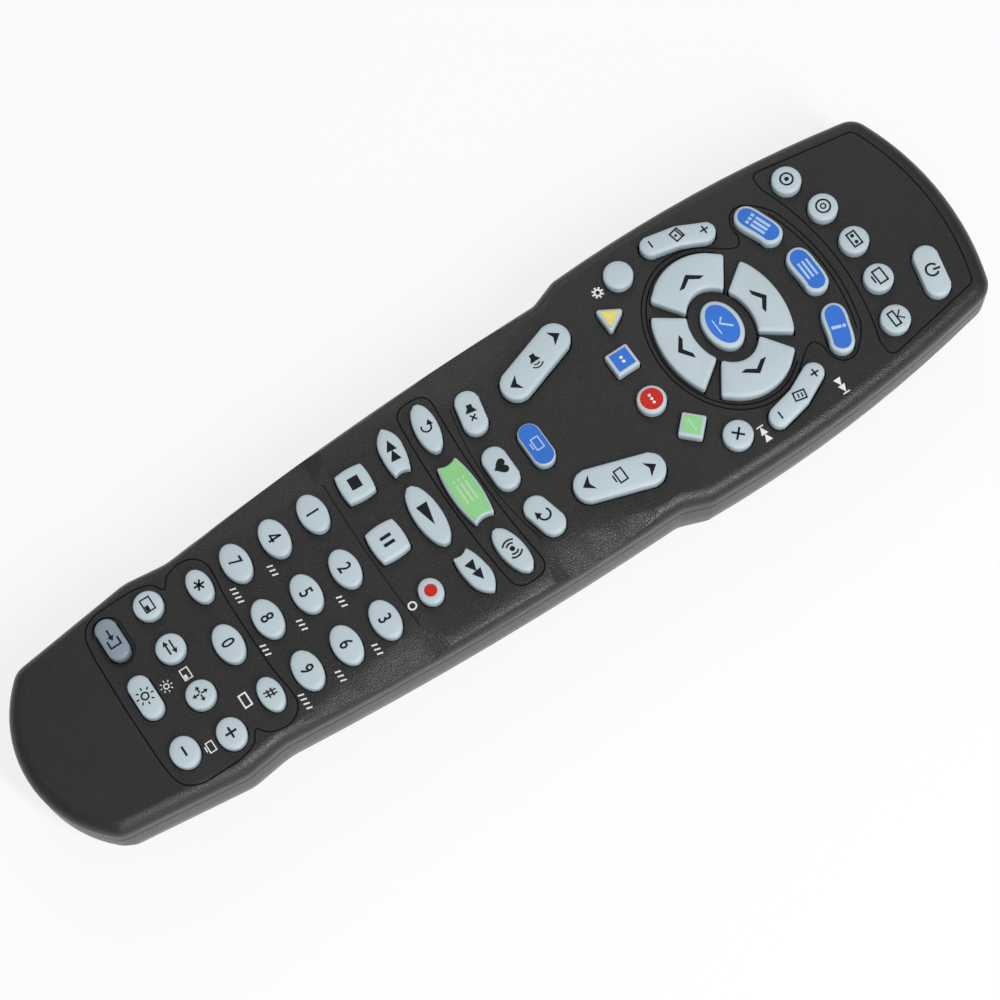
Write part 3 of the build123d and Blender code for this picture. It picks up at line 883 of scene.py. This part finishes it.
class REMOTE_OT_insets(bpy.types.Operator):
    """Prints the coloured fields on the keys"""

    bl_idname = "remote.insets"
    bl_label = "Coloured fields"

    def execute(self, context):
        lift = context.scene.remote_sizes.ink_lift / MM
        for node, (material, inset) in INSETS.items():
            rim = drawn_in(smooth_loop(node, loops_on_top(node)[0]), inset)
            add_key_print(node + "_field", [rim], lift, material, node)
        return {"FINISHED"}


def long_key_signs(middle, side):
    """Plus and minus with a sign between them, on the left (-1) or right (1) bent key beside the ring."""
    plus = placed(sign_plus(), -1.6 * side, 5.6, scale=0.78)
    minus = placed(sign_minus(), 2.0 * side, -5.6, scale=0.8)
    return plus + minus + placed(middle, 0.7 * side, 0.2, -12 * side)


def key_signs():
    """Each key's signs: the node, which of its keys, the shapes about the key's middle, and the ink."""
    height = bpy.context.scene.remote_sizes.digit_height / MM
    digits = [("key_" + n, 0, written(n, height), "ink") for n in "012356789"]
    device = [sign_jack(), sign_disc(), sign_cassette(), sign_screen(), sign_box()]
    devices = [("device_keys", index, shapes, "ink") for index, shapes in enumerate(device)]
    rocker = spokes(placed(sign_arrowhead(), -2.1, 6.3), 2)
    volume = rocker + placed(sign_volume(), scale=0.95)
    channel = mirrored(rocker) + placed(sign_screen(), scale=0.9)
    return (
        digits
        + devices
        + [
            ("key_4", 0, sign_four(height), "ink"),
            ("key_star", 0, sign_star(), "ink"),
            ("key_hash", 0, written("#", HASH_HEIGHT), "ink"),
            ("key_power", 0, sign_power(), "ink"),
            ("key_guide", 0, sign_grid(), "pale_blue"),
            ("key_menu", 0, sign_menu(), "pale_blue"),
            ("key_info", 0, sign_info(), "pale_blue"),
            ("key_day", 0, long_key_signs(sign_calendar(), -1), "ink"),
            ("key_page", 0, long_key_signs(sign_page(), 1), "ink"),
            ("key_up", 0, placed(sign_chevron(), 0, 0.4), "ink"),
            ("key_down", 0, placed(sign_chevron(), 0, -0.4, 180), "ink"),
            ("key_left", 0, placed(sign_chevron(), -0.4, 0, 90), "ink"),
            ("key_right", 0, placed(sign_chevron(), 0.4, 0, -90), "ink"),
            ("key_select", 0, placed(sign_tick(), 0, 0.4, 0, 0.95), "pale_blue"),
            ("key_exit", 0, sign_leave(), "ink"),
            ("key_a", 0, placed(sign_dots(1), 0, -0.7), "pale_yellow"),
            ("key_b", 0, sign_dots(2), "light_ink"),
            ("key_c", 0, placed(sign_dots(3), scale=0.9), "light_ink"),
            ("key_d", 0, placed(sign_dots(4), scale=0.8), "pale_green"),
            ("key_volume", 0, volume, "ink"),
            ("key_channel", 0, channel, "ink"),
            ("key_library", 0, placed(sign_screen(), scale=0.85), "pale_blue"),
            ("key_mute", 0, sign_mute(), "ink"),
            ("key_favorite", 0, sign_heart(), "ink"),
            ("key_last", 0, placed(mirrored(sign_back()), turn=180), "ink"),
            ("key_replay", 0, placed(sign_back(), scale=0.85), "ink"),
            ("key_list", 0, sign_list(), "pale_green"),
            ("key_live", 0, sign_live(), "ink"),
            ("key_rewind", 0, sign_rewind(), "ink"),
            ("key_play", 0, sign_play(), "ink"),
            ("key_forward", 0, sign_forward(), "ink"),
            ("key_stop", 0, sign_stop(), "ink"),
            ("key_pause", 0, sign_pause(), "ink"),
            ("key_record", 0, dot(1.35), "print_red"),
            ("pip_keys", 0, placed(sign_picture(), scale=0.9), "ink"),
            ("pip_keys", 1, sign_swap(), "ink"),
            ("pip_keys", 2, placed(sign_move(), scale=0.9), "ink"),
            ("key_source", 0, placed(sign_input(), scale=0.95), "ink"),
            ("key_light", 0, sign_sun(), "ink"),
            ("channel_keys", 0, sign_minus(), "ink"),
            ("channel_keys", 1, sign_plus(), "ink"),
        ]
    )


class REMOTE_OT_signs(bpy.types.Operator):
    """Prints the signs on the keys"""

    bl_idname = "remote.signs"
    bl_label = "Signs on the keys"

    def execute(self, context):
        lift = context.scene.remote_sizes.ink_lift / MM
        for node, which, shapes, ink in key_signs():
            x, y = centre(loops_on_top(node)[which])
            there = placed(shapes, x, y, TILTS.get(node, 0.0))
            add_key_print(f"{node}_sign_{which}", there, 2 * lift, ink, node)
        return {"FINISHED"}


# Middles of the short strokes beside the number keys, and the keys that have four of them
TICK_PLACES = {
    2: (5.0, -41.3),
    3: (17.5, -40.8),
    4: (-8.5, -49.4),
    5: (4.6, -50.6),
    6: (18.0, -49.9),
    7: (-8.1, -58.2),
    8: (4.9, -59.5),
    9: (18.4, -58.6),
}
FOUR_TICKS = (7, 9)


def deck_signs():
    """The white signs on the deck."""
    shapes = placed(sign_skip(), 24.4, 69.2, scale=0.72)
    shapes += placed(mirrored(sign_skip()), 24.2, 50.0, scale=0.72)
    shapes += placed(sign_gear(), -21.3, 39.6, scale=0.8)
    shapes += ring(0.8, LINE, 13.9, -30.0)
    shapes += box_frame(3.2, 1.9, THIN_LINE, 11.4, -68.4)
    shapes += placed(sign_picture(), 0.0, -75.4, scale=0.75)
    shapes += placed(sign_sun(), 0.0, -80.0, scale=0.7)
    shapes += placed(sign_screen(), 15.6, -79.3, scale=0.7)
    for number, (x, y) in TICK_PLACES.items():
        shapes += placed(sign_ticks(4 if number in FOUR_TICKS else 3), x, y)
    return shapes


class REMOTE_OT_housing_signs(bpy.types.Operator):
    """Prints the white signs on the deck"""

    bl_idname = "remote.housing_signs"
    bl_label = "Signs on the deck"

    def execute(self, context):
        lift = context.scene.remote_sizes.ink_lift / MM
        add_deck_print("deck_signs", deck_signs(), lift, "light_ink")
        return {"FINISHED"}


# Grooves, drawn as strips of painted shade with painted highlights beside them, in millimetres

# The line round the device keys: an upper and a lower arch, each with its reach, and the corner between them
PANEL_TOP = 109.4
PANEL_TOP_RADIUS = 58.5
PANEL_TOP_REACH = 21.3
PANEL_LOW = 85.4
PANEL_LOW_RADIUS = 60.0
PANEL_LOW_REACH = 21.0
PANEL_LOW_CORNER = (25.3, 81.4)
PANEL_ROUND = 1.9

# The arc over the menu keys with a second one inside it, and the two lines round the ring: their middle,
# half of each one's width and height, and the angle in degrees at which they end
FAN_RADIUS = 47.4
FAN_CENTRE = 35.9
FAN_LINE_GAP = 1.1
RING_CENTRE = 56.4
RING_LINE = (19.4, 15.4)
RING_INNER_LINE = (18.3, 14.5)
RING_LINE_END = 36.0

# The bowed line round the replay, list and live keys
STADIUM_HALF = 23.3
STADIUM_TOP = -2.3
STADIUM_LOW = -10.5
STADIUM_BOW = 1.4
STADIUM_ROUND = 3.4

# The lines that hardly show, drawn in faint painted shade: half their width, height of their ends, and how
# far they hang down
FAVORITE_BOW = (19.8, 0.3, 2.9)
DIGIT_BOW = (18.2, -31.0, 0.5)

# Where the painted highlight on a groove's lit lip lies beside it, and how far the highlight and the
# groove's painted shade stand above the deck
PAINTED_HIGHLIGHT_PLACE = (0.14, -0.12)
PAINTED_HIGHLIGHT_LIFT = 0.01
GROOVE_LIFT = 0.02


def round_corners(points, radius, steps=5):
    """A closed line with its corners cut round, without the points that a cut passes."""
    count = len(points)
    cuts = {}
    for index, point in enumerate(points):
        here = Vector(point)
        before = (Vector(points[index - 1]) - here).normalized()
        after = (Vector(points[(index + 1) % count]) - here).normalized()
        angle = before.angle(after)
        if angle < CORNER_ANGLE:
            cuts[index] = (here, before, after, radius / math.tan(angle / 2))
    done = []
    for index, point in enumerate(points):
        if index in cuts:
            here, before, after, reach = cuts[index]
            start = here + before * reach
            end = here + after * reach
            for step in range(steps + 1):
                share = step / steps
                blend = (1 - share) ** 2 * start + 2 * share * (1 - share) * here + share ** 2 * end
                done.append(tuple(blend))
        elif all((cut[0] - Vector(point)).length > cut[3] for cut in cuts.values()):
            done.append(point)
    return done


def both_sides(right):
    """A line drawn from its top middle down the right, closed up the left."""
    return right + [(-x, y) for x, y in reversed(right) if x > 0]


def through(points, steps):
    """A smooth closed line through the points."""
    count = len(points)
    done = []
    for index in range(count):
        first, start, end, last = [Vector(points[(index + near) % count]) for near in (-1, 0, 1, 2)]
        for step in range(steps):
            share = step / steps
            bend = (2 * first - 5 * start + 4 * end - last) * share ** 2
            twist = (3 * start - first - 3 * end + last) * share ** 3
            done.append(tuple((2 * start + (end - first) * share + bend + twist) / 2))
    return done


def arch(peak, radius, start, end, steps):
    """Points along the top of a circle about the middle line, from one x to another."""
    points = []
    for step in range(steps + 1):
        x = start + (end - start) * step / steps
        points.append((x, peak - radius + math.sqrt(radius ** 2 - x ** 2)))
    return points


def ring_arc(halves, start, end, steps):
    """Points along an upright ellipse about the ring's middle."""
    half_x, half_y = halves
    return arc_points(half_x, start, end, 0, RING_CENTRE, steps, half_y / half_x)


def bow(half, ends, drop, steps=12):
    """A line from -half to half that hangs by drop below its ends."""
    xs = [half * (2 * step / steps - 1) for step in range(steps + 1)]
    return [(x, ends - drop * (1 - (x / half) ** 2)) for x in xs]


def panel_line():
    """The line round the device keys."""
    top = arch(PANEL_TOP, PANEL_TOP_RADIUS, 0, PANEL_TOP_REACH, 7)
    low = arch(PANEL_LOW, PANEL_LOW_RADIUS, PANEL_LOW_REACH, 0, 6)
    return round_corners(both_sides(top + [PANEL_LOW_CORNER] + low), PANEL_ROUND)


def fan_line():
    """The line round the menu keys and the ring, with a hook between them."""
    top = arc_points(FAN_RADIUS, 90, 71, 0, FAN_CENTRE, 6)
    hook = [(18.4, 78.5), (20.6, 75.6), (20.2, 72.8), (17.8, 71.3), (15.2, 71.2), (13.4, 70.2), (13.6, 68.4)]
    field = ring_arc(RING_LINE, RING_LINE_END, -90, 18)
    return through(both_sides(top + hook + field), 3)


def stadium_line():
    """The bowed line round the replay, list and live keys."""
    top = bow(STADIUM_HALF, STADIUM_TOP, STADIUM_BOW)
    low = bow(STADIUM_HALF, STADIUM_LOW, STADIUM_BOW)
    return round_corners(top + low[::-1], STADIUM_ROUND)


def block_line():
    """The waisted line round the lowest keys."""
    right = [(0.0, -60.5), (9.0, -60.4), (16.0, -59.7), (19.2, -60.9), (20.6, -64.0), (19.7, -67.8)]
    right += [(17.6, -69.8), (19.9, -71.6), (21.0, -75.0), (21.1, -80.0), (20.8, -84.8), (18.6, -88.0)]
    right += [(14.0, -89.0), (7.0, -89.2), (0.0, -89.3)]
    return through(both_sides(right), 4)


def groove_lines():
    """The clear lines that divide the deck: points and whether the line is closed."""
    ring_line = ring_arc(RING_INNER_LINE, RING_LINE_END, -180 - RING_LINE_END, 60)
    fan = arc_points(FAN_RADIUS - FAN_LINE_GAP, 70, 110, 0, FAN_CENTRE, 20)
    return [
        (panel_line(), True),
        (fan_line(), True),
        (ring_line, False),
        (fan, False),
        (stadium_line(), True),
        (block_line(), True),
    ]


def faint_lines():
    """The open lines that hardly show, under the favourite key's row and over the digits."""
    return [bow(*FAVORITE_BOW), bow(*DIGIT_BOW)]


class REMOTE_OT_grooves(bpy.types.Operator):
    """Draws the grooves of the deck as dark strips of painted shade, with a painted highlight beside each
    clear one
    """

    bl_idname = "remote.grooves"
    bl_label = "Grooves"

    def execute(self, context):
        width = context.scene.remote_sizes.groove / MM
        dark, faint = [], []
        for points, closed in groove_lines():
            dark += stroke(points, width, closed)
        for points in faint_lines():
            faint += stroke(points, width)
        # A painted highlight beside each clear groove, where light would catch its lip
        add_deck_print("painted_groove_highlights", placed(dark, *PAINTED_HIGHLIGHT_PLACE), PAINTED_HIGHLIGHT_LIFT, "painted_groove_highlight")
        # Flat strips of painted shade where the grooves' recesses would lie in shade
        add_deck_print("grooves", dark, GROOVE_LIFT, "painted_groove_shade")
        add_deck_print("faint_grooves", faint, GROOVE_LIFT, "painted_faint_groove_shade")
        return {"FINISHED"}


# Materials of the CAD pieces

# Corners closer than this are one, in millimetres, and edges that turn more than this stay sharp
SAME_PLACE = 0.002
SHARP_EDGE = math.radians(28)


def soften(piece):
    """Smooths a CAD piece's curved faces and keeps its edges sharp."""
    piece.data.polygons.foreach_set("use_smooth", [True] * len(piece.data.polygons))
    weld = piece.modifiers.new("weld", "WELD")
    weld.merge_threshold = SAME_PLACE * MM
    split = piece.modifiers.new("split", "EDGE_SPLIT")
    split.split_angle = SHARP_EDGE
    piece.modifiers.new("even", "WEIGHTED_NORMAL")


class REMOTE_OT_surfaces(bpy.types.Operator):
    """Gives the CAD pieces their materials"""

    bl_idname = "remote.surfaces"
    bl_label = "Surfaces"

    def execute(self, context):
        keys = key_nodes()
        for part in frame["record"]["subparts"]:
            node = part["node"]
            if node in keys:
                continue
            piece = frame["nodes"][node]
            piece.data.materials.clear()
            piece.data.materials.append(surface_named(part["material_slot"]))
            soften(piece)
        return {"FINISHED"}


# Stage

# Lights in millimetres and watts: name, place, width and height, power and colour, all turned to one place
LIGHTS = (
    ("key_light", (520, 90, 660), (75, 560), 5.0, (1.0, 0.99, 0.98)),
    ("side_light", (640, -240, 240), (320, 320), 0.6, (0.98, 0.99, 1.0)),
    ("fill_light", (-560, 200, 560), (500, 500), 0.8, (1.0, 1.0, 1.0)),
)
LIGHT_TARGET = (0, 0, 10)
WORLD_STRENGTH = 0.38

# The floor: half its width and its depth under the underside in metres, roughness, and its share of plain
# white, while the rest is lit and carries the shadow
FLOOR_HALF = 6.0
FLOOR_DROP = 0.0002
FLOOR_ROUGH = 0.85
FLOOR_GLOW = 0.8

# The camera: its place and its axes in the object's frame, and its sensor's width and focal length
CAMERA_PLACE = (157.1, -82.1, 527.3)
CAMERA_RIGHT = (0.5564, 0.8301, -0.0372)
CAMERA_DOWN = (0.7803, -0.5373, -0.3201)
CAMERA_FORWARD = (-0.2857, 0.1490, -0.9467)
SENSOR_WIDTH = 36.0
FOCAL_LENGTH = 93.6


def add_light(name, place, size, power, colour):
    """An area light, turned to the object."""
    data = bpy.data.lights.new(name, "AREA")
    data.shape = "ELLIPSE"
    data.size = size[0] * MM
    data.size_y = size[1] * MM
    data.energy = power
    data.color = colour
    light = bpy.data.objects.new(name, data)
    bpy.context.scene.collection.objects.link(light)
    light.location = Vector(place) * MM
    aim = (Vector(LIGHT_TARGET) - Vector(place)).to_track_quat("-Z", "Y")
    light.rotation_euler = aim.to_euler()


def seen_plainly(nodes, links):
    """1 for rays from the camera, from mirrors and through clear pieces, otherwise 0."""
    path = nodes.new("ShaderNodeLightPath")
    seen = path.outputs["Is Camera Ray"]
    for ray in ("Is Glossy Ray", "Is Transmission Ray"):
        either = nodes.new("ShaderNodeMath")
        either.operation = "MAXIMUM"
        links.new(seen, either.inputs[0])
        links.new(path.outputs[ray], either.inputs[1])
        seen = either.outputs["Value"]
    return seen


def floor_surface(colour):
    """A pale ground, nearly white to the eye and in reflections, that keeps a soft shadow."""
    material, nodes, links, shader = new_material("floor")
    shader.inputs["Base Color"].default_value = (*colour, 1)
    shader.inputs["Roughness"].default_value = FLOOR_ROUGH
    glow = nodes.new("ShaderNodeEmission")
    glow.inputs["Strength"].default_value = 1.0
    share = nodes.new("ShaderNodeMath")
    share.operation = "MULTIPLY"
    share.inputs[1].default_value = FLOOR_GLOW
    links.new(seen_plainly(nodes, links), share.inputs[0])
    mix = nodes.new("ShaderNodeMixShader")
    links.new(share.outputs["Value"], mix.inputs["Fac"])
    links.new(shader.outputs["BSDF"], mix.inputs[1])
    links.new(glow.outputs["Emission"], mix.inputs[2])
    links.new(mix.outputs["Shader"], nodes["Material Output"].inputs["Surface"])
    return material


def add_floor(colour):
    """A wide plain floor just under the object."""
    mesh = bpy.data.meshes.new("floor")
    corners = [(x, y, -FLOOR_DROP) for x, y in bar(0, 0, 2 * FLOOR_HALF, 2 * FLOOR_HALF)]
    mesh.from_pydata(corners, [], [[0, 1, 2, 3]])
    mesh.materials.append(floor_surface(colour))
    floor = bpy.data.objects.new("floor", mesh)
    bpy.context.scene.collection.objects.link(floor)


def add_world():
    """Even white light from all round."""
    world = bpy.data.worlds.new("world")
    world.use_nodes = True
    background = world.node_tree.nodes["Background"]
    background.inputs["Color"].default_value = (1, 1, 1, 1)
    background.inputs["Strength"].default_value = WORLD_STRENGTH
    bpy.context.scene.world = world


def add_camera():
    """The camera that took the photograph."""
    data = bpy.data.cameras.new("camera")
    data.sensor_width = SENSOR_WIDTH
    data.lens = FOCAL_LENGTH
    data.clip_start = 0.01
    camera = bpy.data.objects.new("camera", data)
    bpy.context.scene.collection.objects.link(camera)
    right, up, back = Vector(CAMERA_RIGHT), -Vector(CAMERA_DOWN), -Vector(CAMERA_FORWARD)
    turn = Matrix((right, up, back)).transposed()
    camera.matrix_world = Matrix.Translation(Vector(CAMERA_PLACE) * MM) @ turn.to_4x4()
    bpy.context.scene.camera = camera


class REMOTE_OT_stage(bpy.types.Operator):
    """Sets the floor, the lights and the camera"""

    bl_idname = "remote.stage"
    bl_label = "Stage"

    def execute(self, context):
        add_floor(context.scene.remote_colours.floor)
        for light in LIGHTS:
            add_light(*light)
        add_world()
        add_camera()
        context.scene.view_settings.view_transform = "Standard"
        return {"FINISHED"}


class REMOTE_PT_panel(bpy.types.Panel):
    """Lists the remote control's settings and pieces"""

    bl_idname = "REMOTE_PT_panel"
    bl_label = "Remote control"
    bl_space_type = "VIEW_3D"
    bl_region_type = "UI"
    bl_category = "Remote"

    def draw(self, context):
        layout = self.layout
        for group in (context.scene.remote_sizes, context.scene.remote_colours):
            for name in group.__annotations__:
                layout.prop(group, name)
        for operator in OPERATORS:
            layout.operator(operator.bl_idname)


OPERATORS = (
    REMOTE_OT_stage,
    REMOTE_OT_surfaces,
    REMOTE_OT_grooves,
    REMOTE_OT_caps,
    REMOTE_OT_insets,
    REMOTE_OT_signs,
    REMOTE_OT_housing_signs,
)
CLASSES = (RemoteSizes, RemoteColours, *OPERATORS, REMOTE_PT_panel)


def register():
    """Makes the classes and their settings known to Blender."""
    for cls in CLASSES:
        bpy.utils.register_class(cls)
    bpy.types.Scene.remote_sizes = PointerProperty(type=RemoteSizes)
    bpy.types.Scene.remote_colours = PointerProperty(type=RemoteColours)


def unregister():
    """Takes back what register did."""
    del bpy.types.Scene.remote_colours
    del bpy.types.Scene.remote_sizes
    for cls in reversed(CLASSES):
        bpy.utils.unregister_class(cls)


def main():
    """Dresses the frame."""
    register()
    bpy.ops.remote.stage()
    bpy.ops.remote.surfaces()
    bpy.ops.remote.grooves()
    bpy.ops.remote.caps()
    bpy.ops.remote.insets()
    bpy.ops.remote.signs()
    bpy.ops.remote.housing_signs()


if __name__ == "__main__":
    main()
